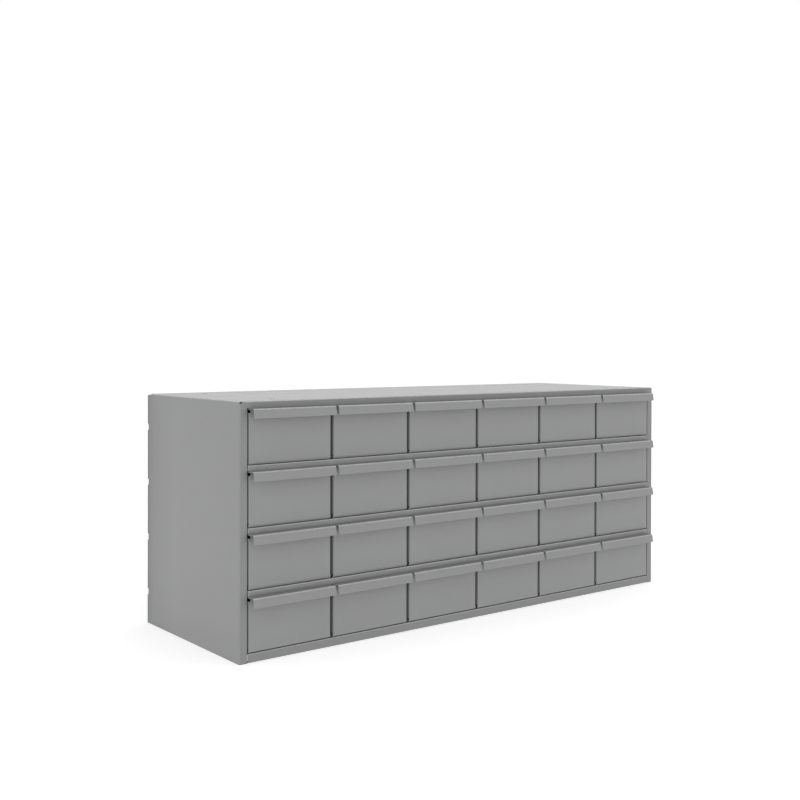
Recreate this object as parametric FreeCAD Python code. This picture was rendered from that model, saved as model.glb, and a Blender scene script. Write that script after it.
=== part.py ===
import FreeCAD, Part
import math
import os

# Parts bin cabinet of folded sheet steel: a case with six columns and four rows of small drawers.
# Millimetres. +Z is up, the drawers face -Y, and the origin is under the middle of the whole cabinet.
# Row 1 is the top row and column 1 is at the left, seen from the front.

# How many
columns = 6
rows = 4

# Sheet, with its inner bend radius
case_sheet = 0.9
case_bend = 0.8
back_sheet = 0.9
drawer_sheet = 0.8
drawer_bend = 1.2
guide_sheet = 0.8

# Folded edges: an open hem is a sheet turned back on itself
hem_depth = 5.0
hem_gap = 0.6

# Drawer
drawer_width = 133.35
drawer_length = 292.1
drawer_front_height = 78.78
drawer_wall_height = 69.85
back_stop_rise = 3.2
back_corner_clip = 6.0
corner_tab_width = 9.5
corner_tab_clearance = 2.0

# Pull, the front's top edge turned forward and down
pull_reach = 15.875
pull_drop = 12.7
pull_slope_angle = 9.0
pull_bend = 1.6

# Gaps between drawers and case
drawer_gap = 5.65
face_side_gap = 3.35
run_clearance = 0.3
pull_clearance = 0.7
closing_clearance = 0.475
stop_clearance = 0.3
assembly_gap = 0.3

# Frame round the drawers
side_flange_width = 11.1
side_return_depth = 8.0
base_height = 12.7
base_return_depth = 9.5
top_flange_height = 7.9
shelf_flange_height = 6.35
shelf_end_flange = 12.0
shelf_rear_flange = 9.5
rear_flange_width = 12.7

# Guide strips between the drawers
guide_height = 12.7
guide_setback = 12.7
guide_clearance = 0.8
guide_lead = 6.0

# Small cuts in the shell
mitre_gap = 0.3
rear_relief_length = 12.0
rear_relief_depth = 1.9
rear_notch_rise = 36.0
rear_notch_height = 9.5
rear_notch_depth = 4.5
rear_notch_into_flange = 3.2

# Holes in the top for bolting the cabinet up or stacking another on it
top_hole_radius = 4.35
top_hole_from_side = 76.2
top_hole_from_front = 44.45

# How far every cutting tool runs past what it cuts
overrun = 5.0

# Sizes that follow
case_bend_outside = case_bend + case_sheet
drawer_bend_outside = drawer_bend + drawer_sheet
column_pitch = drawer_width + drawer_gap
opening_height = run_clearance + drawer_front_height + pull_clearance
row_pitch = opening_height + shelf_flange_height
drawer_back_height = opening_height - run_clearance + back_stop_rise
hem_thickness = 2 * case_sheet + hem_gap
drawer_hem_thickness = 2 * drawer_sheet + hem_gap
case_width = columns * column_pitch - drawer_gap + 2 * (side_flange_width + face_side_gap)
case_height = base_height + rows * row_pitch - shelf_flange_height + top_flange_height
case_depth = drawer_length + closing_clearance + case_sheet + back_sheet + case_sheet
drawer_travel = drawer_length - drawer_sheet - hem_thickness - stop_clearance

# Places that follow
left = -case_width / 2
right = case_width / 2
front = pull_reach - (case_depth + pull_reach) / 2
rear = front + case_depth
back_face = rear - case_sheet - back_sheet
stop_face = back_face - case_sheet
floor_heights = [base_height + (rows - 1 - row) * row_pitch for row in range(rows)]
first_drawer_left = left + side_flange_width + face_side_gap


def end_on(u, v):
    """A point of an outline seen from the front: u to the right, v up."""
    return FreeCAD.Vector(u, 0, v)


def side_on(u, v):
    """A point of an outline seen from the side: u to the back, v up."""
    return FreeCAD.Vector(0, u, v)


def from_above(u, v):
    """A point of an outline seen from above: u to the right, v to the back."""
    return FreeCAD.Vector(u, v, 0)


def direction(start, end):
    """Unit vector from one point of an outline to another."""
    length = math.hypot(end[0] - start[0], end[1] - start[1])
    return (end[0] - start[0]) / length, (end[1] - start[1]) / length


def rounded_face(corners, place, round_bends=True):
    """Flat face inside a closed outline of (u, v, radius) corners. A bend that isn't round has two flats."""
    ends = []
    count = len(corners)
    for i, (u, v, radius) in enumerate(corners):
        before = direction(corners[i - 1], corners[i])
        after = direction(corners[i], corners[(i + 1) % count])
        if not radius:
            ends.append((place(u, v),))
            continue
        half_turn = math.acos(before[0] * after[0] + before[1] * after[1]) / 2
        setback = radius * math.tan(half_turn)
        inward = direction(before, after)
        reach = radius / math.cos(half_turn) - radius
        ends.append((
            place(u - before[0] * setback, v - before[1] * setback),
            place(u + inward[0] * reach, v + inward[1] * reach),
            place(u + after[0] * setback, v + after[1] * setback),
        ))
    edges = []
    for i, arc in enumerate(ends):
        if len(arc) > 1 and round_bends:
            edges.append(Part.Arc(*arc).toShape())
        else:
            edges += [Part.LineSegment(a, b).toShape() for a, b in zip(arc, arc[1:])]
        edges.append(Part.LineSegment(arc[-1], ends[(i + 1) % count][0]).toShape())
    return Part.Face(Part.Wire(edges))


def folded_face(path, thickness, place, round_bends=True):
    """Cross-section of a folded sheet. The path is (u, v, inner bend radius) along one side of the sheet,
    and the thickness lies to the right of it."""
    near, far = [], []
    for i, (u, v, bend) in enumerate(path):
        before = direction(path[i - 1], path[i]) if i else None
        after = direction(path[i], path[i + 1]) if i + 1 < len(path) else None
        first, second = before or after, after or before
        # the two rights are added and lengthened to reach the mitre of the far side
        stretch = thickness / (1 + first[0] * second[0] + first[1] * second[1])
        far_u = u + (first[1] + second[1]) * stretch
        far_v = v - (first[0] + second[0]) * stretch
        turns_left = first[0] * second[1] - first[1] * second[0] > 0
        outside = bend + thickness if bend else 0
        near.append((u, v, bend if turns_left else outside))
        far.append((far_u, far_v, outside if turns_left else bend))
    return rounded_face(near + far[::-1], place, round_bends)


def box(low, high):
    """Box between two opposite corners."""
    size = [b - a for a, b in zip(low, high)]
    return Part.makeBox(*size, FreeCAD.Vector(*low))


def mirrored(shape):
    """The shape and its mirror image across the cabinet's middle."""
    return [shape, shape.mirror(FreeCAD.Vector(0, 0, 0), FreeCAD.Vector(1, 0, 0))]


def joined(first, others):
    """One solid of welded or folded pieces, with no seams left between flush faces."""
    return first.fuse(others).removeSplitter()


def bent_box(inset, radius):
    """The case's outer form, or its inner one, bent along its front and top edges and sharp at the back."""
    shape = box(
        (left + inset, front + inset, -overrun),
        (right - inset, rear - inset, case_height - inset),
    )
    bent = [e for e in shape.Edges if e.BoundBox.ZMax > case_height / 2 and e.BoundBox.YMin < 0]
    return shape.makeFillet(radius, bent)


def shell_front_returns():
    """The side flanges' inner edges, turned back into the case on each side of the drawers."""
    edge = left + side_flange_width
    path = [
        (edge, front + side_return_depth, 0),
        (edge, front, case_bend),
        (edge - side_flange_width / 2, front, 0),
    ]
    profile = folded_face(path, case_sheet, from_above)
    strip = profile.extrude(FreeCAD.Vector(0, 0, case_height - top_flange_height))
    return mirrored(strip)


def shell_top_hem():
    """The top flange's lower edge, hemmed."""
    lower = case_height - top_flange_height
    path = [
        (front + hem_thickness, lower + hem_depth, 0),
        (front + hem_thickness, lower, 0),
        (front, lower, 0),
        (front, lower + top_flange_height / 2, 0),
    ]
    hem = folded_face(path, case_sheet, side_on)
    start = side_flange_width - case_bend_outside
    hem.translate(FreeCAD.Vector(left + start, 0, 0))
    return hem.extrude(FreeCAD.Vector(case_width - 2 * start, 0, 0))


def shell_windows():
    """What is cut away inside the front and rear flanges, and below the case."""
    front_edge = side_flange_width - case_bend_outside
    front_top = case_height - top_flange_height + case_bend_outside
    front_window = box(
        (left + front_edge, front - overrun, -overrun),
        (right - front_edge, front + case_sheet + case_bend, front_top),
    )
    rear_window = box(
        (left + rear_flange_width, rear - case_sheet - case_bend, -overrun),
        (right - rear_flange_width, rear + overrun, case_height - rear_flange_width),
    )
    below = box((left - overrun, front - overrun, -2 * overrun), (right + overrun, rear + overrun, 0))
    return [front_window, rear_window, below]


def shell_front_corner_cuts():
    """The mitre between side and top flange, and the small opening left where three bends meet."""
    relief = box(
        (left - overrun, front - overrun, case_height - case_bend_outside),
        (left + case_bend_outside, front + case_bend_outside, case_height + overrun),
    )
    mitre_length = math.hypot(side_flange_width, top_flange_height)
    mitre_angle = math.degrees(math.atan2(top_flange_height, side_flange_width))
    mitre = box((0, front - overrun, -mitre_gap / 2), (mitre_length, front + case_sheet, mitre_gap / 2))
    mitre.rotate(FreeCAD.Vector(0, 0, 0), FreeCAD.Vector(0, 1, 0), mitre_angle)
    mitre.translate(FreeCAD.Vector(left, 0, case_height))
    trimmed = mitre.common(box(
        (left + case_bend_outside, front - overrun, 0),
        (left + side_flange_width, front + case_sheet, case_height - case_bend_outside),
    ))
    return mirrored(relief) + mirrored(trimmed)


def shell_rear_cuts():
    """The open top corners at the back, and a notch in each rear bend behind every row."""
    relief = box(
        (left - overrun, rear - rear_relief_length, case_height - rear_relief_depth),
        (left + rear_relief_depth, rear + overrun, case_height + overrun),
    )
    cuts = mirrored(relief)
    for height in floor_heights:
        middle = height + rear_notch_rise
        notch = box(
            (left - overrun, rear - rear_notch_depth, middle - rear_notch_height / 2),
            (left + rear_notch_into_flange, rear + overrun, middle + rear_notch_height / 2),
        )
        cuts += mirrored(notch)
    return cuts


def top_holes():
    """One hole near each corner of the top."""
    holes = []
    for y in (front + top_hole_from_front, rear - top_hole_from_front):
        hole = Part.makeCylinder(
            top_hole_radius,
            case_sheet + 2 * overrun,
            FreeCAD.Vector(left + top_hole_from_side, y, case_height - case_sheet - overrun),
        )
        holes += mirrored(hole)
    return holes


def case_shell():
    """Top and sides in one sheet, with flanges all round the front and the back."""
    sheet = bent_box(0, case_bend_outside).cut(bent_box(case_sheet, case_bend))
    framed = sheet.cut(shell_windows())
    folded = joined(framed, shell_front_returns() + [shell_top_hem()])
    return folded.cut(shell_front_corner_cuts() + shell_rear_cuts() + top_holes())


def deck(front_path, rear_path, end_path):
    """A level sheet between the sides: a narrow front part that reaches between the side flanges,
    and a wide part behind their returns, which is folded down along the sides."""
    narrow = side_flange_width + assembly_gap
    lengthwise = folded_face(front_path + rear_path, case_sheet, side_on)
    lengthwise.translate(FreeCAD.Vector(left + narrow, 0, 0))
    middle = lengthwise.extrude(FreeCAD.Vector(case_width - 2 * narrow, 0, 0))
    wide_start = front + side_return_depth + assembly_gap
    across = folded_face(end_path, case_sheet, end_on, round_bends=False)
    across.translate(FreeCAD.Vector(0, wide_start, 0))
    ends = across.extrude(FreeCAD.Vector(0, stop_face - case_bend_outside - wide_start, 0))
    return joined(middle, [ends])


def shelf(height):
    """One shelf: hemmed flange down at the front, flange up at the back as the drawers' stop."""
    lower = height - shelf_flange_height
    front_path = [
        (front + hem_thickness, lower + hem_depth - case_sheet, 0),
        (front + hem_thickness, lower, 0),
        (front, lower, 0),
        (front, height, case_bend),
    ]
    rear_path = [
        (stop_face, height, case_bend),
        (stop_face, height + shelf_rear_flange, 0),
    ]
    end_path = [
        (left + case_sheet, height - shelf_end_flange, 0),
        (left + case_sheet, height, case_bend),
        (right - case_sheet, height, case_bend),
        (right - case_sheet, height - shelf_end_flange, 0),
    ]
    return deck(front_path, rear_path, end_path)


def case_bottom():
    """The bottom: a floor on flanges that stand on the ground and are turned in under it."""
    front_path = [
        (front + base_return_depth, 0, 0),
        (front, 0, case_bend),
        (front, base_height, case_bend),
    ]
    rear_path = [
        (back_face, base_height, case_bend),
        (back_face, 0, 0),
    ]
    end_path = [
        (left + case_sheet + base_return_depth, 0, 0),
        (left + case_sheet, 0, case_bend),
        (left + case_sheet, base_height, case_bend),
        (right - case_sheet, base_height, case_bend),
        (right - case_sheet, 0, case_bend),
        (right - case_sheet - base_return_depth, 0, 0),
    ]
    return deck(front_path, rear_path, end_path)


def case_back():
    """The back panel, inside the shell's rear flanges."""
    side_inset = case_sheet + case_bend
    return box(
        (left + side_inset, back_face, 0),
        (right - side_inset, back_face + back_sheet, case_height - side_inset),
    )


def guide(middle, height):
    """One guide strip: a channel open below, with its front end sloped to lead the drawer in."""
    half_width = drawer_gap / 2 - guide_clearance
    path = [
        (middle - half_width, height, 0),
        (middle - half_width, height + guide_height, 0),
        (middle + half_width, height + guide_height, 0),
        (middle + half_width, height, 0),
    ]
    start = front + guide_setback
    end = stop_face - case_bend - assembly_gap
    profile = folded_face(path, guide_sheet, end_on)
    profile.translate(FreeCAD.Vector(0, start, 0))
    channel = profile.extrude(FreeCAD.Vector(0, end - start, 0))
    upper = height + guide_height
    slope = rounded_face([
        (start - overrun, upper - guide_lead - overrun, 0),
        (start - overrun, upper + overrun, 0),
        (start + guide_lead + overrun, upper + overrun, 0),
    ], side_on)
    slope.translate(FreeCAD.Vector(middle - drawer_gap, 0, 0))
    return channel.cut(slope.extrude(FreeCAD.Vector(2 * drawer_gap, 0, 0)))


def drawer_trough():
    """Floor and side walls in one fold, the walls' top edges hemmed inwards."""
    half = drawer_width / 2
    inner = half - drawer_hem_thickness
    path = [
        (-inner, drawer_wall_height - hem_depth, 0),
        (-inner, drawer_wall_height, 0),
        (-half, drawer_wall_height, 0),
        (-half, 0, drawer_bend),
        (half, 0, drawer_bend),
        (half, drawer_wall_height, 0),
        (inner, drawer_wall_height, 0),
        (inner, drawer_wall_height - hem_depth, 0),
    ]
    profile = folded_face(path[::-1], drawer_sheet, end_on, round_bends=False)
    profile.translate(FreeCAD.Vector(0, drawer_sheet, 0))
    trough = profile.extrude(FreeCAD.Vector(0, drawer_length - 2 * drawer_sheet, 0))
    # the floor stops where the front and back walls bend up from it
    ends = []
    for start, end in ((0, drawer_bend_outside), (drawer_length - drawer_bend_outside, drawer_length)):
        ends.append(box((-half, start, 0), (half, end, drawer_bend_outside)))
    return trough.cut(ends)


def drawer_front():
    """Front wall, bent up from the floor, as high as the pull's lip."""
    path = [
        (2 * drawer_bend_outside, 0, 0),
        (0, 0, drawer_bend),
        (0, drawer_front_height - pull_drop, 0),
    ]
    profile = folded_face(path, drawer_sheet, side_on, round_bends=False)
    profile.translate(FreeCAD.Vector(-drawer_width / 2, 0, 0))
    return profile.extrude(FreeCAD.Vector(drawer_width, 0, 0))


def drawer_pull():
    """The front wall's top, turned forward in a round bend and down into a lip that leans out to its edge."""
    lean = pull_drop * math.tan(math.radians(pull_slope_angle))
    path = [
        (0, drawer_front_height - pull_drop, 0),
        (0, drawer_front_height - drawer_sheet, drawer_bend),
        (drawer_sheet - pull_reach + lean, drawer_front_height - drawer_sheet, pull_bend),
        (drawer_sheet - pull_reach, drawer_front_height - pull_drop, 0),
    ]
    profile = folded_face(path, drawer_sheet, side_on)
    profile.translate(FreeCAD.Vector(-drawer_width / 2, 0, 0))
    return profile.extrude(FreeCAD.Vector(drawer_width, 0, 0))


def drawer_back():
    """Back wall, taller than the opening so that it stops the drawer, with clipped top corners."""
    path = [
        (drawer_length, drawer_back_height, 0),
        (drawer_length, 0, drawer_bend),
        (drawer_length - 2 * drawer_bend_outside, 0, 0),
    ]
    profile = folded_face(path, drawer_sheet, side_on, round_bends=False)
    profile.translate(FreeCAD.Vector(-drawer_width / 2, 0, 0))
    wall = profile.extrude(FreeCAD.Vector(drawer_width, 0, 0))
    half = drawer_width / 2
    clip = rounded_face([
        (-half - overrun, drawer_back_height - back_corner_clip - overrun, 0),
        (-half - overrun, drawer_back_height + overrun, 0),
        (-half + back_corner_clip + overrun, drawer_back_height + overrun, 0),
    ], end_on)
    clip.translate(FreeCAD.Vector(0, drawer_length - drawer_sheet - overrun, 0))
    return wall.cut(mirrored(clip.extrude(FreeCAD.Vector(0, drawer_sheet + 2 * overrun, 0))))


def drawer_corner_tabs():
    """The side walls' rear ends, turned in flat against the back wall."""
    start = drawer_length - 2 * drawer_sheet
    return mirrored(box(
        (-drawer_width / 2, start, drawer_bend_outside + corner_tab_clearance),
        (-drawer_width / 2 + corner_tab_width, start + drawer_sheet,
         drawer_wall_height - hem_depth - corner_tab_clearance),
    ))


def drawer_corner_reliefs():
    """The small notches left at the bottom corners, where two bends meet."""
    half = drawer_width / 2
    notches = []
    for start, end in ((0, drawer_bend_outside), (drawer_length - drawer_bend_outside, drawer_length)):
        notch = box((-half, start, 0), (-half + drawer_bend_outside, end, drawer_bend_outside))
        notches += mirrored(notch)
    return notches


def drawer():
    """One drawer, folded from one sheet, standing with its front wall's face at y = 0."""
    body = joined(drawer_trough(), [drawer_front(), drawer_pull(), drawer_back()] + drawer_corner_tabs())
    return body.cut(drawer_corner_reliefs())


def build():
    """Every piece by its node's name."""
    pieces = {
        "case_shell": case_shell(),
        "case_bottom": case_bottom(),
        "case_back": case_back(),
    }
    for row in range(rows - 1):
        pieces[f"shelf_{row + 1}"] = shelf(floor_heights[row])
    one_drawer = drawer()
    for row, height in enumerate(floor_heights):
        for side in range(columns + 1):
            middle = first_drawer_left - drawer_gap / 2 + side * column_pitch
            pieces[f"guide_row{row + 1}_{side + 1}"] = guide(middle, height)
        for column in range(columns):
            middle = first_drawer_left + drawer_width / 2 + column * column_pitch
            copy = one_drawer.copy()
            copy.translate(FreeCAD.Vector(middle, front, height + run_clearance))
            pieces[f"drawer_row{row + 1}_column{column + 1}"] = copy
    return pieces


if __name__ == "__main__":
    os.makedirs("parts", exist_ok=True)
    for name, shape in build().items():
        shape.exportStep(f"parts/{name}.step")
        bounds = shape.BoundBox
        print(name, shape.isValid(), len(shape.Solids), round(shape.Volume),
              round(bounds.XLength, 2), round(bounds.YLength, 2), round(bounds.ZLength, 2))
    print("each drawer slides out", round(drawer_travel, 2))
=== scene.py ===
import math

import bmesh
import bpy
from bpy.props import FloatProperty, FloatVectorProperty, PointerProperty
from bpy.types import Operator, Panel, PropertyGroup
from mathutils import Euler, Matrix, Vector


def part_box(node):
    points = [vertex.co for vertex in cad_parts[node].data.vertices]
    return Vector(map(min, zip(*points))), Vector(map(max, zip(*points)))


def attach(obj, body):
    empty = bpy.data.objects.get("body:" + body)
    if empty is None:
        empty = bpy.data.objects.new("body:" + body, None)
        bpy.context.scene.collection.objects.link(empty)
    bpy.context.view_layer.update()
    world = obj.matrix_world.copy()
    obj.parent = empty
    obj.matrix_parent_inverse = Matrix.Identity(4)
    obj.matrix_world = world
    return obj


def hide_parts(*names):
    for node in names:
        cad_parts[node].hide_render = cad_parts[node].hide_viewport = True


bl_info = {
    "name": "Parts bin cabinet",
    "version": (1, 0, 0),
    "blender": (4, 5, 0),
    "location": "View3D > Sidebar > Cabinet",
    "description": "Folds and paints the sheet steel of a cabinet of small drawers round its packed frame",
    "category": "Object",
}

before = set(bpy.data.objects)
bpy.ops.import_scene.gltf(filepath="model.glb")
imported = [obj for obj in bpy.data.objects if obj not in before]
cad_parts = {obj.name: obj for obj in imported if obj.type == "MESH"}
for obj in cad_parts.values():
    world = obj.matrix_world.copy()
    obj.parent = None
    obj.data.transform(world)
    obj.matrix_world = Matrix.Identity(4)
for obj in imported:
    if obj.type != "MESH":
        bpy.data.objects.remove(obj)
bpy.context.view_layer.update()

MM = 0.001
TOUCH = 0.01 * MM
ROWS = 4
COLUMNS = 6
HEM_ROUND = 0.48  # how much of a hem's thickness each of its two rounded corners takes
DRILL_DEPTH = 10 * MM
SMOOTH_ANGLE = math.radians(30)
SHARP_ANGLE = math.radians(50)

# What the enamel's patterns measure, and how high the sprayed surface's waves can stand.
CLOUD = 90 * MM
BLOTCH = 22 * MM
RUB_PATCH = 7 * MM
SPECK = 0.9 * MM
WAVE_HEIGHT = 0.4 * MM
FLOOR_TOOTH = 3 * MM
FLOOR_TOOTH_HEIGHT = 0.2 * MM


def length(name, description, millimetres):
    """A size in metres, given in millimetres."""
    return FloatProperty(name=name, description=description, default=millimetres * MM, min=0, precision=5,
                         unit="LENGTH", subtype="DISTANCE")


def share(name, description, default):
    """A factor between none and all."""
    return FloatProperty(name=name, description=description, default=default, min=0, max=1, subtype="FACTOR")


def colour(name, description, default):
    """A paint or light colour."""
    return FloatVectorProperty(name=name, description=description, default=default, min=0, max=1,
                               subtype="COLOR")


class CabinetCaseSizes(PropertyGroup):
    """Sizes of the case's folded sheets."""
    sheet: length("Case sheet", "Thickness of the shell, shelves and bottom", 0.9)
    bend: length("Case bend", "Outside radius of the case's folds", 1.7)
    relief: length("Fold relief", "How far a sheet is cut away where two of its folds meet", 1.9)
    front_relief_width: length("Front relief width", "Width of the opening at the front's top corners", 4.4)
    front_relief_height: length("Front relief height", "Height of the opening at the front's top corners",
                                2.4)
    mitre_gap: length("Mitre gap", "Gap of the mitred flanges at the top corners", 0.3)
    side_flange: length("Side flange", "Width of the front's side flanges", 12.5)
    side_return: length("Side return", "Depth of the side flanges' turned-in edges", 8.0)
    top_flange: length("Top flange", "Height of the top's front flange", 9.5)
    rear_flange: length("Rear flange", "Width of the flanges round the back", 12.7)
    rear_relief_length: length("Rear relief length", "Length of the open top corners at the back", 12.0)
    rear_relief_width: length("Rear relief width", "Width of the open top corners at the back", 7.4)
    hem: length("Hem thickness", "Thickness of an edge folded back on itself", 2.4)
    hem_edge: length("Hem edge", "Outside radius of a hem's front corner", 0.4)
    hem_depth: length("Hem depth", "How far up a folded edge reaches", 5.0)
    shelf_flange: length("Shelf flange", "Height of a shelf's front flange", 7.95)
    shelf_bend: length("Shelf bend", "Outside radius of the fold along a shelf's front", 2.0)
    shelf_end: length("Shelf end flange", "Height of a shelf's flanges along the sides", 12.0)
    shelf_stop: length("Shelf stop", "Height of a shelf's rear flange", 9.5)
    base_return: length("Base return", "Width of the flanges turned in under the bottom", 9.5)
    narrow: length("Narrow inset", "Inset of a deck's front part, which reaches between the side flanges",
                   13.0)
    wide_start: length("Wide start", "Where a deck widens behind the side flanges", 8.3)
    notch_rise: length("Notch rise", "Height of a rear notch's middle above its row's floor", 36.0)
    notch_height: length("Notch height", "Height of the notches in the rear folds", 9.5)
    notch_depth: length("Notch depth", "Depth of the rear notches in the sides", 4.5)
    notch_into_flange: length("Notch into flange", "Depth of the rear notches in the rear flange", 3.2)
    hole_radius: length("Top hole radius", "Radius of the four holes in the top", 4.35)
    hole_from_side: length("Top hole from side", "Distance of the top's holes from the sides", 76.2)
    hole_from_front: length("Top hole from front", "Distance of the top's holes from front and back", 44.45)
    guide_sheet: length("Guide sheet", "Thickness of the guide strips", 0.8)
    guide_bend: length("Guide bend", "Outside radius of the guide strips' folds", 1.1)
    guide_lead: length("Guide lead", "Length of the guide strips' sloped front ends", 6.0)


class CabinetDrawerSizes(PropertyGroup):
    """Sizes of one drawer."""
    sheet: length("Drawer sheet", "Thickness of the drawers' sheet", 0.8)
    bend: length("Drawer bend", "Outside radius of a drawer's folds", 2.0)
    spread: length("Spread", "How far a drawer reaches beyond its packed solid at either side", 0.4)
    front_bend: length("Front bend", "Outside radius of the fold below the front", 4.4)
    edge_bend: length("Edge bend", "Outside radius of the folds at the front's side edges", 3.0)
    lap_gap: length("Lap gap", "Gap between sheets that lie on each other", 0.05)
    foot: length("Foot", "How far the front's fold keeps its full width behind and above the corner", 5.0)
    slit: length("Slit", "Gap that parts a flange or side wall from the front's fold", 0.2)
    notch: length("Front notch", "Width of the notches between the front's flanges and its pull", 3.0)
    front_height: length("Front height", "Height of a drawer's front", 77.95)
    wall_height: length("Wall height", "Height of a drawer's side walls", 71.5)
    back_clip: length("Back clip", "Size of the back wall's cut-off corners", 6.0)
    hem: length("Drawer hem", "Thickness of the side walls' folded edges", 2.2)
    hem_depth: length("Drawer hem depth", "How far the side walls' folded edges reach down", 5.0)
    flange_length: length("Front flange length", "Length of the front's flanges along the side walls", 9.5)
    tab_width: length("Rear tab width", "Width of the side walls' tabs on the back wall", 9.5)
    tab_bend: length("Rear tab bend", "Outside radius of the rear tabs' folds", 1.2)
    tab_low: length("Rear tab low", "Height at which the rear tabs begin", 6.0)
    tab_high: length("Rear tab high", "Height at which the rear tabs end", 64.5)
    pull_reach: length("Pull reach", "How far the pull stands in front of the drawer", 15.875)
    pull_drop: length("Pull drop", "Height of the pull's lip", 13.4)
    pull_lean: length("Pull lean", "How much further out the lip's edge stands than its top", 2.12)
    pull_root: length("Pull root", "Inner radius of the fold from front to pull", 0.5)
    pull_bend: length("Pull bend", "Inner radius of the fold from pull to lip", 1.6)


class CabinetPaint(PropertyGroup):
    """The baked enamel, its edge wear, and the painted fold highlights and painted rear shade in its colour.
    """
    case_grey: colour("Case grey", "Colour of the case's enamel", (0.216, 0.218, 0.22))
    drawer_grey: colour("Drawer grey", "Colour of the drawers' and shelves' enamel", (0.247, 0.249, 0.251))
    # The light grey of worn edges, which also paints the highlights on the folds.
    wear_and_highlight_grey: colour("Edge grey", "Colour of the thin enamel on edges and folds", (0.64, 0.642, 0.644))
    roughness: share("Roughness", "Roughness of clean enamel", 0.25)
    mottle: share("Mottle", "How much the grey varies over a panel", 0.05)
    # Painted shade: this setting darkens the enamel towards the back of each piece, where the sides' rear
    # edges fall in shade; the next one sets where it is darkest.
    fade: share("Fade", "How much darker the thin enamel at the back is", 0.4)
    rear_shade_end: length("Fade end", "How far behind the middle the enamel is thinnest", 155)
    peel: share("Orange peel", "Strength of the sprayed surface's waviness", 0.03)
    peel_size: length("Orange peel size", "Size of one wave of the sprayed surface", 2.6)
    wear: share("Edge wear", "How much of the edges' enamel is rubbed thin", 0.25)
    # Fold wear sets a painted highlight on the folds, together with their thin enamel.
    fold_highlight_and_wear: share("Fold wear", "How much of the enamel on folds is rubbed thin", 0.9)
    wear_width: length("Edge wear width", "How far from an edge the enamel is rubbed", 0.7)


class CabinetStage(PropertyGroup):
    """Floor, lights and camera."""
    camera_place: FloatVectorProperty(name="Camera place", description="Where the camera stands",
                                      default=(-1.1584, -1.4615, 0.4379), subtype="XYZ", unit="LENGTH")
    camera_yaw: FloatProperty(name="Camera yaw", description="Turn of the camera from +Y towards +X",
                              default=math.radians(38.614), subtype="ANGLE")
    camera_pitch: FloatProperty(name="Camera pitch", description="Tilt of the camera above the level",
                                default=math.radians(-0.39), subtype="ANGLE")
    camera_roll: FloatProperty(name="Camera roll", description="Roll of the camera about its own axis",
                               default=math.radians(0.151), subtype="ANGLE")
    lens: FloatProperty(name="Focal length", description="Focal length in millimetres", default=49.327,
                        subtype="DISTANCE_CAMERA")
    shift_x: FloatProperty(name="Shift across", description="Sideways shift of the picture", default=-0.03412)
    shift_y: FloatProperty(name="Shift up", description="Upward shift of the picture", default=-0.06062)
    floor_grey: colour("Floor grey", "Colour of the floor", (0.9, 0.9, 0.9))
    floor_size: length("Floor size", "Width and depth of the floor", 60000)
    floor_glow: FloatProperty(name="Floor glow", description="Brightness of the light under the floor",
                              default=0.45, min=0)
    sky: share("Surround", "Brightness of the white surround at eye level", 1.0)
    zenith: share("Surround overhead", "Brightness of the white surround overhead", 0.5)
    top_light: FloatProperty(name="Top light", description="Power of the soft light overhead",
                             default=6.0, subtype="POWER")
    left_light: FloatProperty(name="Left light", description="Power of the soft light at the left",
                              default=7.0, subtype="POWER")
    right_light: FloatProperty(name="Right light", description="Power of the soft light at the right",
                               default=6.0, subtype="POWER")


def inward(edge, reach):
    """The range from an edge to a place at some reach from it."""
    return min(edge, edge + reach), max(edge, edge + reach)


def start_sheet(name, x, y, z):
    """Starts a sheet as a level plane over a range of x and of y, facing up, and leaves it in edit mode."""
    bpy.ops.object.select_all(action="DESELECT")
    bpy.ops.mesh.primitive_plane_add(size=1, location=(sum(x) / 2, sum(y) / 2, z))
    piece = bpy.context.object
    piece.name = piece.data.name = name
    piece.scale = (x[1] - x[0], y[1] - y[0], 1)
    bpy.ops.object.transform_apply(location=True, rotation=False, scale=True)
    bpy.ops.object.mode_set(mode="EDIT")
    return piece


def pick(kind, **place):
    """Selects the vertices, edges or faces that lie wholly in a place: x, y and z are values or ranges."""
    bpy.ops.mesh.select_mode(type=kind)
    bpy.ops.mesh.select_all(action="DESELECT")
    mesh = bmesh.from_edit_mesh(bpy.context.object.data)
    ranges = [("xyz".index(axis), *(where if isinstance(where, tuple) else (where, where)))
              for axis, where in place.items()]
    found = 0
    for item in {"VERT": mesh.verts, "EDGE": mesh.edges, "FACE": mesh.faces}[kind]:
        corners = [item] if kind == "VERT" else item.verts
        if all(low - TOUCH <= corner.co[axis] <= high + TOUCH
               for corner in corners for axis, low, high in ranges):
            item.select_set(True)
            found += 1
    mesh.select_flush_mode()
    bmesh.update_edit_mesh(bpy.context.object.data)
    if not found:
        raise RuntimeError(f"{bpy.context.object.name} has nothing to pick at {place}")


def cut(axis, *places):
    """Divides the whole sheet across one axis at each place."""
    normal = [float(axis == name) for name in "xyz"]
    for place in places:
        bpy.ops.mesh.select_all(action="SELECT")
        bpy.ops.mesh.bisect(plane_co=[place * part for part in normal], plane_no=normal, threshold=TOUCH)


def remove(**place):
    """Deletes the faces that lie wholly in a place."""
    pick("FACE", **place)
    bpy.ops.mesh.delete(type="FACE")


def extend(x=0, y=0, z=0):
    """Extends the sheet from the selected edges."""
    bpy.ops.mesh.extrude_region_move(TRANSFORM_OT_translate={"value": (x, y, z)})


def move(x=0, y=0, z=0):
    """Moves what is selected."""
    bpy.ops.transform.translate(value=(x, y, z))


def bend(radius, steps=5, **place):
    """Rounds the fold along the edges at a place."""
    pick("EDGE", **place)
    bpy.ops.mesh.bevel(offset=radius, segments=steps, affect="EDGES", clamp_overlap=False)


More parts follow.
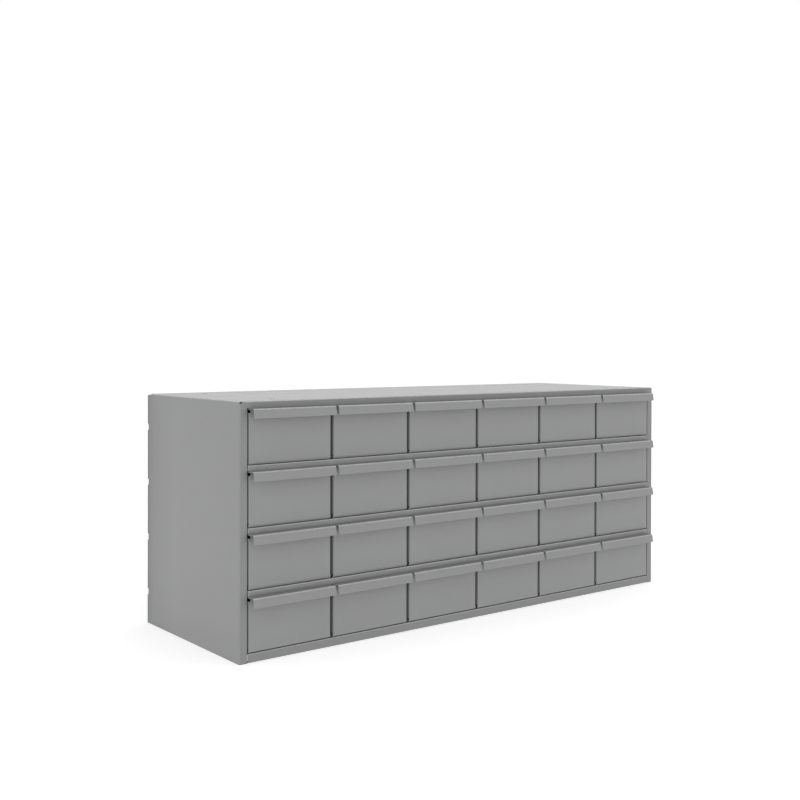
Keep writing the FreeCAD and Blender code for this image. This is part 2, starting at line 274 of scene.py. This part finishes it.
def apply_modifier(piece, kind, **settings):
    """Adds one modifier with its settings and applies it."""
    modifier = piece.modifiers.new(kind.title(), kind)
    for name, value in settings.items():
        setattr(modifier, name, value)
    bpy.ops.object.modifier_apply(modifier=modifier.name)


def thicken(piece, sheet, side):
    """Leaves edit mode and gives the sheet its thickness, above its level plane (1) or below it (-1)."""
    bpy.ops.mesh.select_all(action="SELECT")
    bpy.ops.mesh.normals_make_consistent(inside=False)
    bpy.ops.object.mode_set(mode="OBJECT")
    level = max(piece.data.polygons, key=lambda face: face.area * abs(face.normal.z))
    side = math.copysign(side, side * level.normal.z)
    apply_modifier(piece, "SOLIDIFY", thickness=sheet, offset=side, use_even_offset=True)


def soften(piece, width=0.14 * MM):
    """Breaks the sharp cut edges, as paint does, and shades the folds smooth and the panels flat."""
    apply_modifier(piece, "BEVEL", width=width, segments=2, limit_method="ANGLE", angle_limit=SHARP_ANGLE)
    bpy.ops.object.shade_smooth_by_angle(angle=SMOOTH_ANGLE)
    apply_modifier(piece, "WEIGHTED_NORMAL", keep_sharp=True)


def copied(piece, name, x=0, y=0, z=0):
    """A copy of a finished piece with its own mesh, moved to its place."""
    bpy.ops.object.select_all(action="DESELECT")
    piece.select_set(True)
    bpy.context.view_layer.objects.active = piece
    bpy.ops.object.duplicate()
    copy = bpy.context.object
    copy.name = copy.data.name = name
    bpy.ops.transform.translate(value=(x, y, z))
    bpy.ops.object.transform_apply(location=True, rotation=False, scale=False)
    return copy


def dress(piece, node, material, body):
    """Gives a finished piece its paint, its node to stand for and the body it moves with."""
    piece.data.materials.clear()
    piece.data.materials.append(material)
    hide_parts(node)
    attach(piece, body)


class Value:
    """A number that varies over a surface, for sums written as Python."""

    def __init__(self, nodes, socket):
        self.nodes = nodes
        self.socket = socket

    def maths(self, operation, first, second, clamp=False):
        node = self.nodes.add("ShaderNodeMath", {"operation": operation, "use_clamp": clamp},
                              {0: first, 1: second})
        return Value(self.nodes, node.outputs[0])

    def __add__(self, other):
        return self.maths("ADD", self, other)

    def __sub__(self, other):
        return self.maths("SUBTRACT", self, other)

    def __rsub__(self, other):
        return self.maths("SUBTRACT", other, self)

    def __mul__(self, other):
        return self.maths("MULTIPLY", self, other)

    __radd__ = __add__
    __rmul__ = __mul__

    def held(self):
        """The number kept between 0 and 1."""
        return self.maths("ADD", self, 0, clamp=True)

    def size(self):
        """The number without its sign."""
        return self.maths("ABSOLUTE", self, 0)

    def most(self, other):
        """The larger of two numbers."""
        return self.maths("MAXIMUM", self, other)


class Nodes:
    """The nodes of one new material or surround."""

    def __init__(self, owner):
        self.owner = owner
        self.owner.use_nodes = True
        self.tree = self.owner.node_tree
        self.tree.nodes.clear()

    def add(self, kind, settings=None, inputs=None):
        """A new node with its settings, then the values or links of its sockets. Ramp stops are a setting."""
        node = self.tree.nodes.new(kind)
        for name, value in (settings or {}).items():
            if name == "stops":
                ramp = node.color_ramp
                while len(ramp.elements) < len(value):
                    ramp.elements.new(1)
                for element, (position, shade) in zip(ramp.elements, value):
                    element.position = position
                    element.color = (shade, shade, shade, 1)
            else:
                setattr(node, name, value)
        for name, value in (inputs or {}).items():
            socket = node.inputs[name]
            if isinstance(value, Value):
                value = value.socket
            if isinstance(value, bpy.types.NodeSocket):
                self.tree.links.new(value, socket)
            else:
                socket.default_value = value
        return node

    def noise(self, place, size, detail=2.0, roughness=0.5):
        """A cloudy pattern from 0 to 1 with blotches of about one size, in metres."""
        node = self.add("ShaderNodeTexNoise", {"noise_dimensions": "3D"},
                        {"Vector": place, "Scale": 1 / size, "Detail": detail, "Roughness": roughness})
        return Value(self, node.outputs[0])

    def ramp(self, value, *stops):
        """A value remapped by stops of position and result."""
        node = self.add("ShaderNodeValToRGB", {"stops": stops}, {"Fac": value})
        return Value(self, node.outputs["Color"])

    def mixed(self, factor, first, second):
        """Two colours mixed."""
        return self.add("ShaderNodeMix", {"data_type": "RGBA"}, {0: factor, 6: first, 7: second}).outputs[2]


def enamel(name, grey, look):
    """Baked enamel on sheet steel: mottled grey with fine orange peel, lighter where its edges are rubbed,
    with painted highlights on the folds and painted shade towards the back.
    """
    if name in bpy.data.materials:
        return bpy.data.materials[name]
    nodes = Nodes(bpy.data.materials.new(name))
    coordinates = nodes.add("ShaderNodeTexCoord").outputs
    place = coordinates["Object"]
    broad = nodes.noise(place, CLOUD, 3)
    fine = nodes.noise(place, SPECK, 2)
    blotch = nodes.noise(place, BLOTCH, 4, 0.6)

    depth = Value(nodes, nodes.add("ShaderNodeSeparateXYZ", None, {0: place}).outputs["Y"])
    # Painted shade: the grey is darkened towards the back (+Y), darkest at the set end, standing in for the
    # shade on the sides' rear edges.
    reach = nodes.ramp(depth * (1 / look.rear_shade_end), (0.4, 0.0), (0.86, 0.4), (1.0, 1.0))
    shade = (1 + look.mottle * (broad + blotch * 0.5 + fine * 0.2 - 0.85)) * (1 - look.fade * reach)
    tinted = nodes.add("ShaderNodeVectorMath", {"operation": "SCALE"}, {0: tuple(grey), "Scale": shade})

    rounded = nodes.add("ShaderNodeBevel", {"samples": 4}, {"Radius": look.wear_width})
    facing = nodes.add("ShaderNodeNewGeometry").outputs["Normal"]
    turned = nodes.add("ShaderNodeVectorMath", {"operation": "DOT_PRODUCT"},
                       {0: rounded.outputs["Normal"], 1: facing})
    edge = nodes.ramp(1 - Value(nodes, turned.outputs["Value"]), (0.02, 0.0), (0.16, 1.0))
    patchy = nodes.ramp(nodes.noise(place, RUB_PATCH, 4, 0.65), (0.35, 0.55), (0.65, 1.0))
    axes = nodes.add("ShaderNodeSeparateXYZ", None, {0: coordinates["Normal"]})
    across, along, upwards = (Value(nodes, axes.outputs[name]) for name in "XYZ")
    # Painted highlight: folds are mixed towards the light edge grey, most where they face up to the top
    # light, as glints; enamel worn thin on the folds is a smaller part of it.
    fold = nodes.ramp(1 - across.size().most(along.size()).most(upwards.size()), (0.03, 0.0), (0.16, 1.0))
    rubbed = fold * (0.12 + 0.88 * upwards.held()) * look.fold_highlight_and_wear
    # The mask of worn edges and painted fold highlights, mixed in as the light edge grey and slightly
    # glossier.
    wear_and_highlight = (edge * look.wear).most(rubbed) * patchy
    colour_out = nodes.mixed(wear_and_highlight, tinted.outputs["Vector"], (*look.wear_and_highlight_grey, 1))

    peel = nodes.noise(place, look.peel_size, 1.5)
    grit = nodes.noise(place, look.peel_size * 0.35, 1)
    bump = nodes.add("ShaderNodeBump", None,
                     {"Strength": look.peel, "Distance": WAVE_HEIGHT, "Height": peel + grit * 0.1})
    roughness = look.roughness + (blotch - 0.5) * 0.08 + (fine - 0.5) * 0.02 - wear_and_highlight * 0.05

    shader = nodes.add("ShaderNodeBsdfPrincipled", None, {
        "Base Color": colour_out,
        "Roughness": roughness,
        "Normal": bump.outputs["Normal"],
        "Metallic": 0.0,
        "IOR": 1.5,
    })
    nodes.add("ShaderNodeOutputMaterial", None, {"Surface": shader.outputs["BSDF"]})
    return nodes.owner


def floor_finish(stage):
    """A white light table: matt acrylic with a faint tooth, lit from below."""
    nodes = Nodes(bpy.data.materials.new("floor_acrylic"))
    place = nodes.add("ShaderNodeTexCoord").outputs["Object"]
    tooth = nodes.noise(place, FLOOR_TOOTH, 3)
    bump = nodes.add("ShaderNodeBump", None,
                     {"Strength": 0.03, "Distance": FLOOR_TOOTH_HEIGHT, "Height": tooth})
    shader = nodes.add("ShaderNodeBsdfPrincipled", None, {
        "Base Color": (*stage.floor_grey, 1),
        "Roughness": 0.9,
        "Normal": bump.outputs["Normal"],
        "Emission Color": (1, 1, 1, 1),
        "Emission Strength": stage.floor_glow,
    })
    nodes.add("ShaderNodeOutputMaterial", None, {"Surface": shader.outputs["BSDF"]})
    return nodes.owner


def white_surround(stage):
    """A white surround, dimmer overhead."""
    nodes = Nodes(bpy.data.worlds.new("white_surround"))
    place = nodes.add("ShaderNodeTexCoord").outputs["Generated"]
    height = nodes.add("ShaderNodeSeparateXYZ", None, {0: place}).outputs["Z"]
    level = nodes.ramp(height, (0.34, stage.sky), (0.7, stage.zenith))
    glow = nodes.add("ShaderNodeBackground", None, {"Color": level})
    nodes.add("ShaderNodeOutputWorld", None, {"Surface": glow.outputs["Background"]})
    return nodes.owner


def soft_light(name, place, target, size, power):
    """One large soft light aimed at a point."""
    bpy.ops.object.select_all(action="DESELECT")
    bpy.ops.object.light_add(type="AREA", location=place)
    light = bpy.context.object
    light.name = light.data.name = name
    light.rotation_euler = (Vector(target) - Vector(place)).to_track_quat("-Z", "Y").to_euler()
    light.data.shape = "RECTANGLE"
    light.data.size, light.data.size_y = size
    light.data.energy = power


def cabinet_settings():
    """The scene's settings for the cabinet."""
    scene = bpy.context.scene
    return scene.cabinet_case, scene.cabinet_drawer, scene.cabinet_paint, scene.cabinet_stage


class CABINET_OT_stage(Operator):
    """Sets up the pale floor, the soft lights and the camera"""
    bl_idname = "cabinet.stage"
    bl_label = "Stage and camera"

    def execute(self, context):
        stage = context.scene.cabinet_stage
        bpy.ops.object.select_all(action="DESELECT")
        bpy.ops.mesh.primitive_plane_add(size=stage.floor_size, location=(0, 0, 0))
        floor = context.object
        floor.name = "floor"
        floor.data.materials.append(floor_finish(stage))
        context.scene.world = white_surround(stage)
        context.scene.view_settings.view_transform = "Standard"

        middle = (0, 0, 0.18)
        soft_light("light_top", (-0.2, -0.5, 2.4), middle, (2.6, 2.2), stage.top_light)
        soft_light("light_left", (-2.4, -1.3, 1.1), middle, (1.8, 1.8), stage.left_light)
        soft_light("light_right", (1.9, -1.5, 2.0), middle, (0.9, 1.6), stage.right_light)

        bpy.ops.object.camera_add(location=stage.camera_place)
        camera = context.object
        camera.name = camera.data.name = "camera"
        camera.data.sensor_width = 36
        camera.data.lens = stage.lens
        camera.data.shift_x = stage.shift_x
        camera.data.shift_y = stage.shift_y
        camera.data.clip_start, camera.data.clip_end = 0.05, 200
        level = Euler((math.pi / 2 + stage.camera_pitch, 0, -stage.camera_yaw), "XYZ").to_matrix()
        camera.rotation_euler = (level @ Matrix.Rotation(stage.camera_roll, 3, "Z")).to_euler()
        context.scene.camera = camera
        return {"FINISHED"}


def fold_rim(case, y, across, down, side_width, top_height, left, right, top):
    """Folds the flanges at the shell's front or back. Their mitre runs inwards from the open corner, which
    is cut away across and down."""
    pick("EDGE", y=y, z=top)
    extend(z=-down)
    extend(z=down - top_height)
    for edge, step in ((left, 1), (right, -1)):
        pick("VERT", x=edge + step * across, y=y, z=top - top_height)
        move(x=step * (side_width - across))
        pick("EDGE", x=edge, y=y, z=(0, top - down))
        extend(x=step * (across - case.mitre_gap))
        extend(x=step * (side_width - across + case.mitre_gap))
        pick("VERT", x=edge + step * side_width, y=y, z=(top - 2 * down, top - down))
        move(z=down - top_height - case.mitre_gap)


class CABINET_OT_case_shell(Operator):
    """Folds the case's top and sides from one sheet, with the flanges round the front and the back"""
    bl_idname = "cabinet.case_shell"
    bl_label = "Case shell"

    def execute(self, context):
        case, _, paint, _ = cabinet_settings()
        low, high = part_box("case_shell")
        left, right, front, rear, top = low.x, high.x, low.y, high.y, high.z
        relief, rear_start = case.relief, rear - case.rear_relief_length
        across, down = case.front_relief_width, case.front_relief_height
        shell = start_sheet("case_shell_sheet", (left, right), (front, rear), top)
        cut("x", left + across, right - across)
        cut("y", front + relief, rear_start)
        for edge, step in ((left, 1), (right, -1)):
            remove(x=inward(edge, step * across), y=(front, front + relief))
            pick("EDGE", x=edge, z=top)
            extend(z=-relief)
            extend(z=relief - down)
            extend(z=down - top)
            pick("EDGE", x=edge, y=front + relief, z=(0, top - down))
            extend(y=-relief)
        fold_rim(case, front, across, down, case.side_flange, case.top_flange, left, right, top)

        across = case.rear_relief_width
        cut("x", left + across, right - across)
        for edge, step in ((left, 1), (right, -1)):
            remove(x=inward(edge, step * across), y=(rear_start, rear), z=(top - relief, top))
        fold_rim(case, rear, across, relief, case.rear_flange, case.rear_flange, left, right, top)
        lower = top - case.top_flange
        for edge, step in ((left, 1), (right, -1)):
            pick("EDGE", x=edge + step * case.side_flange, y=front, z=(0, lower))
            extend(y=case.side_return)
        pick("EDGE", y=front, z=lower)
        extend(y=case.hem)
        extend(z=case.hem_depth)

        floors = [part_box(f"guide_row{row + 1}_1")[0].z for row in range(ROWS)]
        for floor in floors:
            middle = floor + case.notch_rise
            cut("z", middle - case.notch_height / 2, middle + case.notch_height / 2)
        cut("y", rear - case.notch_depth)
        cut("x", left + case.notch_into_flange, right - case.notch_into_flange)
        for floor in floors:
            middle = floor + case.notch_rise
            span = (middle - case.notch_height / 2, middle + case.notch_height / 2)
            for edge, step in ((left, 1), (right, -1)):
                remove(x=edge, y=(rear - case.notch_depth, rear), z=span)
                remove(x=inward(edge, step * case.notch_into_flange), y=rear, z=span)

        for edge, step in ((left, 1), (right, -1)):
            bend(case.bend, x=edge, z=top)
            bend(case.bend, x=edge, y=front)
            bend(case.bend, x=edge, y=rear)
            bend(case.bend, x=edge + step * case.side_flange, y=front, z=(0, lower))
        bend(case.bend, y=front, z=top)
        bend(case.bend, y=rear, z=top)
        bend(case.hem_edge, y=front, z=lower, x=(left + case.side_flange, right - case.side_flange))
        bend(case.hem * HEM_ROUND, y=front + case.hem, z=lower)
        thicken(shell, case.sheet, -1)
        self.drill(shell, case, left, right, front, rear, top)
        soften(shell)
        dress(shell, "case_shell", enamel("case_enamel", paint.case_grey, paint), "case")
        return {"FINISHED"}

    def drill(self, shell, case, left, right, front, rear, top):
        """Cuts the four holes in the top."""
        for x in (left + case.hole_from_side, right - case.hole_from_side):
            for y in (front + case.hole_from_front, rear - case.hole_from_front):
                bpy.ops.object.select_all(action="DESELECT")
                bpy.ops.mesh.primitive_cylinder_add(vertices=48, radius=case.hole_radius,
                                                    depth=DRILL_DEPTH, location=(x, y, top))
                drill = bpy.context.object
                bpy.ops.object.select_all(action="DESELECT")
                shell.select_set(True)
                bpy.context.view_layer.objects.active = shell
                apply_modifier(shell, "BOOLEAN", operation="DIFFERENCE", solver="EXACT", object=drill)
                bpy.data.meshes.remove(drill.data)


def start_deck(name, case, low, high, height, rear):
    """Starts a shelf or the bottom: narrow between the side flanges, wide behind them."""
    deck = start_sheet(name, (low.x, high.x), (low.y, rear), height)
    shell_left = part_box("case_shell")[0].x
    narrow = shell_left + case.narrow
    widens = low.y + case.wide_start
    cut("x", narrow, -narrow)
    cut("y", widens, rear - case.relief)
    for strip in ((low.x, narrow), (-narrow, high.x)):
        remove(x=strip, y=(low.y, widens))
        remove(x=strip, y=(rear - case.relief, rear))
    return deck


class CABINET_OT_case_bottom(Operator):
    """Folds the bottom, which stands on flanges turned in under it"""
    bl_idname = "cabinet.case_bottom"
    bl_label = "Case bottom"

    def execute(self, context):
        case, _, paint, _ = cabinet_settings()
        low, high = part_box("case_bottom")
        top = high.z
        bottom = start_deck("case_bottom_sheet", case, low, high, top, high.y)
        pick("EDGE", y=low.y, z=top)
        extend(z=-top)
        extend(y=case.base_return)
        pick("EDGE", y=high.y, z=top)
        extend(z=-top)
        for edge, step in ((low.x, 1), (high.x, -1)):
            pick("EDGE", x=edge, z=top)
            extend(z=-top)
            extend(x=step * case.base_return)
        bend(case.bend, y=low.y, z=top)
        bend(case.bend, y=low.y, z=0)
        bend(case.bend, y=high.y, z=top)
        for edge in (low.x, high.x):
            bend(case.bend, x=edge, z=top)
            bend(case.bend, x=edge, z=0)
        thicken(bottom, case.sheet, -1)
        soften(bottom)
        dress(bottom, "case_bottom", enamel("case_enamel", paint.case_grey, paint), "case")
        return {"FINISHED"}


class CABINET_OT_shelves(Operator):
    """Folds one shelf, hemmed at the front and turned up at the back, and copies it to each level"""
    bl_idname = "cabinet.shelves"
    bl_label = "Shelves"

    def execute(self, context):
        case, _, paint, _ = cabinet_settings()
        low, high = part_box("shelf_1")
        level = high.z - case.shelf_stop
        stop = high.y - case.sheet
        shelf = start_deck("shelf_1_sheet", case, low, high, level, stop)
        pick("EDGE", y=low.y, z=level)
        extend(z=-case.shelf_flange)
        extend(y=case.hem)
        extend(z=case.hem_depth - case.sheet)
        pick("EDGE", y=stop, z=level)
        extend(z=case.shelf_stop)
        for edge in (low.x, high.x):
            pick("EDGE", x=edge, z=level)
            extend(z=-case.shelf_end)
        bend(case.shelf_bend, y=low.y, z=level)
        bend(case.hem_edge, y=low.y, z=level - case.shelf_flange)
        bend(case.hem * HEM_ROUND, y=low.y + case.hem, z=level - case.shelf_flange)
        bend(case.bend - case.sheet, y=stop, z=level)
        for edge in (low.x, high.x):
            bend(case.bend, x=edge, z=level)
        thicken(shelf, case.sheet, -1)
        soften(shelf)
        paint_used = enamel("drawer_enamel", paint.drawer_grey, paint)
        shelves = [shelf]
        for number in range(2, ROWS):
            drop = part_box(f"shelf_{number}")[0].z - low.z
            shelves.append(copied(shelf, f"shelf_{number}_sheet", z=drop))
        for number, piece in enumerate(shelves, 1):
            dress(piece, f"shelf_{number}", paint_used, "case")
        return {"FINISHED"}


class CABINET_OT_guides(Operator):
    """Folds one guide strip and copies it between the drawers, and paints the back panel"""
    bl_idname = "cabinet.guides"
    bl_label = "Guide strips and back panel"

    def execute(self, context):
        case, _, paint, _ = cabinet_settings()
        low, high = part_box("guide_row1_1")
        first = start_sheet("guide_row1_1_strip", (low.x, high.x), (low.y, high.y), high.z)
        for edge in (low.x, high.x):
            pick("EDGE", x=edge, z=high.z)
            extend(z=low.z - high.z)
        cut("z", high.z - case.guide_lead)
        pick("VERT", y=low.y, z=high.z)
        move(y=case.guide_lead)
        for edge in (low.x, high.x):
            bend(case.guide_bend, 3, x=edge, z=high.z)
        thicken(first, case.guide_sheet, -1)
        soften(first, 0.1 * MM)
        paint_used = enamel("case_enamel", paint.case_grey, paint)
        strips = {"guide_row1_1": first}
        for row in range(1, ROWS + 1):
            for number in range(1, COLUMNS + 2):
                node = f"guide_row{row}_{number}"
                if node not in strips:
                    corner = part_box(node)[0]
                    strips[node] = copied(first, f"{node}_strip", x=corner.x - low.x, z=corner.z - low.z)
        for node, strip in strips.items():
            dress(strip, node, paint_used, "case")
        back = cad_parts["case_back"]
        back.data.materials.clear()
        back.data.materials.append(paint_used)
        return {"FINISHED"}


class CABINET_OT_drawers(Operator):
    """Folds one drawer with its pull and copies it to every place"""
    bl_idname = "cabinet.drawers"
    bl_label = "Drawers"

    def execute(self, context):
        _, size, paint, _ = cabinet_settings()
        low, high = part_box("drawer_row1_column1")
        drawer = self.fold(size, low, high)
        paint_used = enamel("drawer_enamel", paint.drawer_grey, paint)
        drawers = {"drawer_row1_column1": drawer}
        for row in range(1, ROWS + 1):
            for column in range(1, COLUMNS + 1):
                node = f"drawer_row{row}_column{column}"
                if node not in drawers:
                    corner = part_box(node)[0]
                    drawers[node] = copied(drawer, f"{node}_bin", x=corner.x - low.x, z=corner.z - low.z)
        for node, piece in drawers.items():
            dress(piece, node, paint_used, node)
        return {"FINISHED"}

    def fold(self, size, low, high):
        """One drawer from one sheet. The sheet's outer face is modelled first."""
        lap = size.sheet + size.lap_gap
        outer_left, outer_right = low.x - size.spread, high.x + size.spread
        left, right = outer_left + lap, outer_right - lap
        face, back, floor = low.y + size.pull_reach, high.y, low.z
        relief = size.notch - lap
        behind_foot = face + size.foot + size.slit
        drawer = start_sheet("drawer_row1_column1_bin", (left, right), (face, back), floor)
        cut("x", left + relief, right - relief)
        cut("y", face + size.foot, behind_foot, back - relief)
        for strip in ((left, left + relief), (right - relief, right)):
            remove(x=strip, y=(face + size.foot, behind_foot))
            remove(x=strip, y=(back - relief, back))
        self.front_wall(size, left, right, outer_left, outer_right, face, floor)
        self.back_wall(size, left, right, relief, back, floor, high.z)
        self.side_walls(size, left, right, face, (behind_foot, back - relief), back - lap, floor)
        bend(size.front_bend, y=face, z=floor)
        bend(size.bend, y=back, z=floor)
        thicken(drawer, size.sheet, 1)
        soften(drawer)
        return drawer

    def front_wall(self, size, left, right, outer_left, outer_right, face, floor):
        """Full-width front, its flanges lapped over the side walls, and the hooked pull above two notches."""
        tip = size.pull_reach - size.sheet
        foot, rim = floor + size.foot, floor + size.wall_height
        top = floor + size.front_height - size.sheet
        notch_top = top - size.pull_root
        for edge, outer in ((left, outer_left), (right, outer_right)):
            pick("EDGE", x=edge, y=(face, face + size.foot), z=floor)
            extend(x=outer - edge)
        pick("EDGE", y=face, z=floor)
        extend(z=size.foot)
        extend(z=size.slit)
        extend(z=rim - foot - size.slit)
        extend(z=notch_top - rim)
        extend(z=top - notch_top)
        extend(y=size.pull_lean - tip)
        extend(y=-size.pull_lean, z=size.sheet - size.pull_drop)
        for outer, step in ((outer_left, 1), (outer_right, -1)):
            strip = inward(outer, step * size.notch)
            remove(x=strip, y=face, z=(foot, foot + size.slit))
            remove(x=strip, y=face, z=(rim, notch_top))
            pick("EDGE", x=outer, y=face, z=(foot + size.slit, rim))
            extend(y=size.flange_length)
            bend(size.edge_bend, x=outer, y=face, z=(foot + size.slit, rim))
        bend(size.pull_root, y=face, z=top)
        bend(size.pull_bend, 6, y=face + size.pull_lean - tip, z=top)

    def back_wall(self, size, left, right, relief, back, floor, top):
        """Tall back wall with its top corners cut off."""
        pick("EDGE", y=back, z=floor)
        extend(z=relief)
        extend(z=top - floor - relief)
        for edge, step in ((left, 1), (right, -1)):
            pick("EDGE", x=edge + step * relief, y=back, z=(floor + relief, top))
            extend(x=-step * relief)
        for edge in (left, right):
            pick("VERT", x=edge, y=back, z=top)
            bpy.ops.mesh.bevel(offset=size.back_clip, segments=1, affect="VERTICES", clamp_overlap=False)

    def side_walls(self, size, left, right, face, span, tab_face, floor):
        """Side walls with their hemmed top edges, and tabs turned in flat against the back wall."""
        start, end = span
        rim = floor + size.wall_height
        tab = (floor + size.tab_low, floor + size.tab_high)
        for edge, step in ((left, 1), (right, -1)):
            pick("EDGE", x=edge, y=span, z=floor)
            extend(z=size.wall_height)
            extend(x=step * size.hem)
            extend(z=-size.hem_depth)
        cut("z", *tab)
        for edge, step in ((left, 1), (right, -1)):
            pick("EDGE", x=inward(edge, step * size.hem), y=start, z=(floor + size.foot, rim))
            extend(y=face + size.edge_bend - start)
            pick("EDGE", x=edge, y=end, z=tab)
            extend(y=tab_face - end)
            extend(x=step * size.tab_width)
            bend(size.tab_bend, x=edge, y=tab_face)
            bend(size.bend, x=edge, y=span, z=floor)
            bend(size.hem * HEM_ROUND, x=edge, z=rim)
            bend(size.hem * HEM_ROUND, x=edge + step * size.hem, z=rim)


class CABINET_PT_panel(Panel):
    """Lists the steps that build the cabinet"""
    bl_idname = "CABINET_PT_panel"
    bl_label = "Parts bin cabinet"
    bl_space_type = "VIEW_3D"
    bl_region_type = "UI"
    bl_category = "Cabinet"

    def draw(self, context):
        for step in STEPS:
            self.layout.operator(step.bl_idname)
        for settings in SETTINGS:
            box = self.layout.box()
            for name in SETTINGS[settings].__annotations__:
                box.prop(getattr(context.scene, settings), name)


STEPS = (
    CABINET_OT_stage,
    CABINET_OT_case_shell,
    CABINET_OT_case_bottom,
    CABINET_OT_shelves,
    CABINET_OT_guides,
    CABINET_OT_drawers,
)
SETTINGS = {
    "cabinet_case": CabinetCaseSizes,
    "cabinet_drawer": CabinetDrawerSizes,
    "cabinet_paint": CabinetPaint,
    "cabinet_stage": CabinetStage,
}


def register():
    for kind in (*SETTINGS.values(), *STEPS, CABINET_PT_panel):
        bpy.utils.register_class(kind)
    for name, kind in SETTINGS.items():
        setattr(bpy.types.Scene, name, PointerProperty(type=kind))


def unregister():
    for name in SETTINGS:
        delattr(bpy.types.Scene, name)
    for kind in reversed((*SETTINGS.values(), *STEPS, CABINET_PT_panel)):
        bpy.utils.unregister_class(kind)


def main():
    """Builds the cabinet."""
    register()
    for step in STEPS:
        group, name = step.bl_idname.split(".")
        getattr(getattr(bpy.ops, group), name)()


if __name__ == "__main__":
    main()
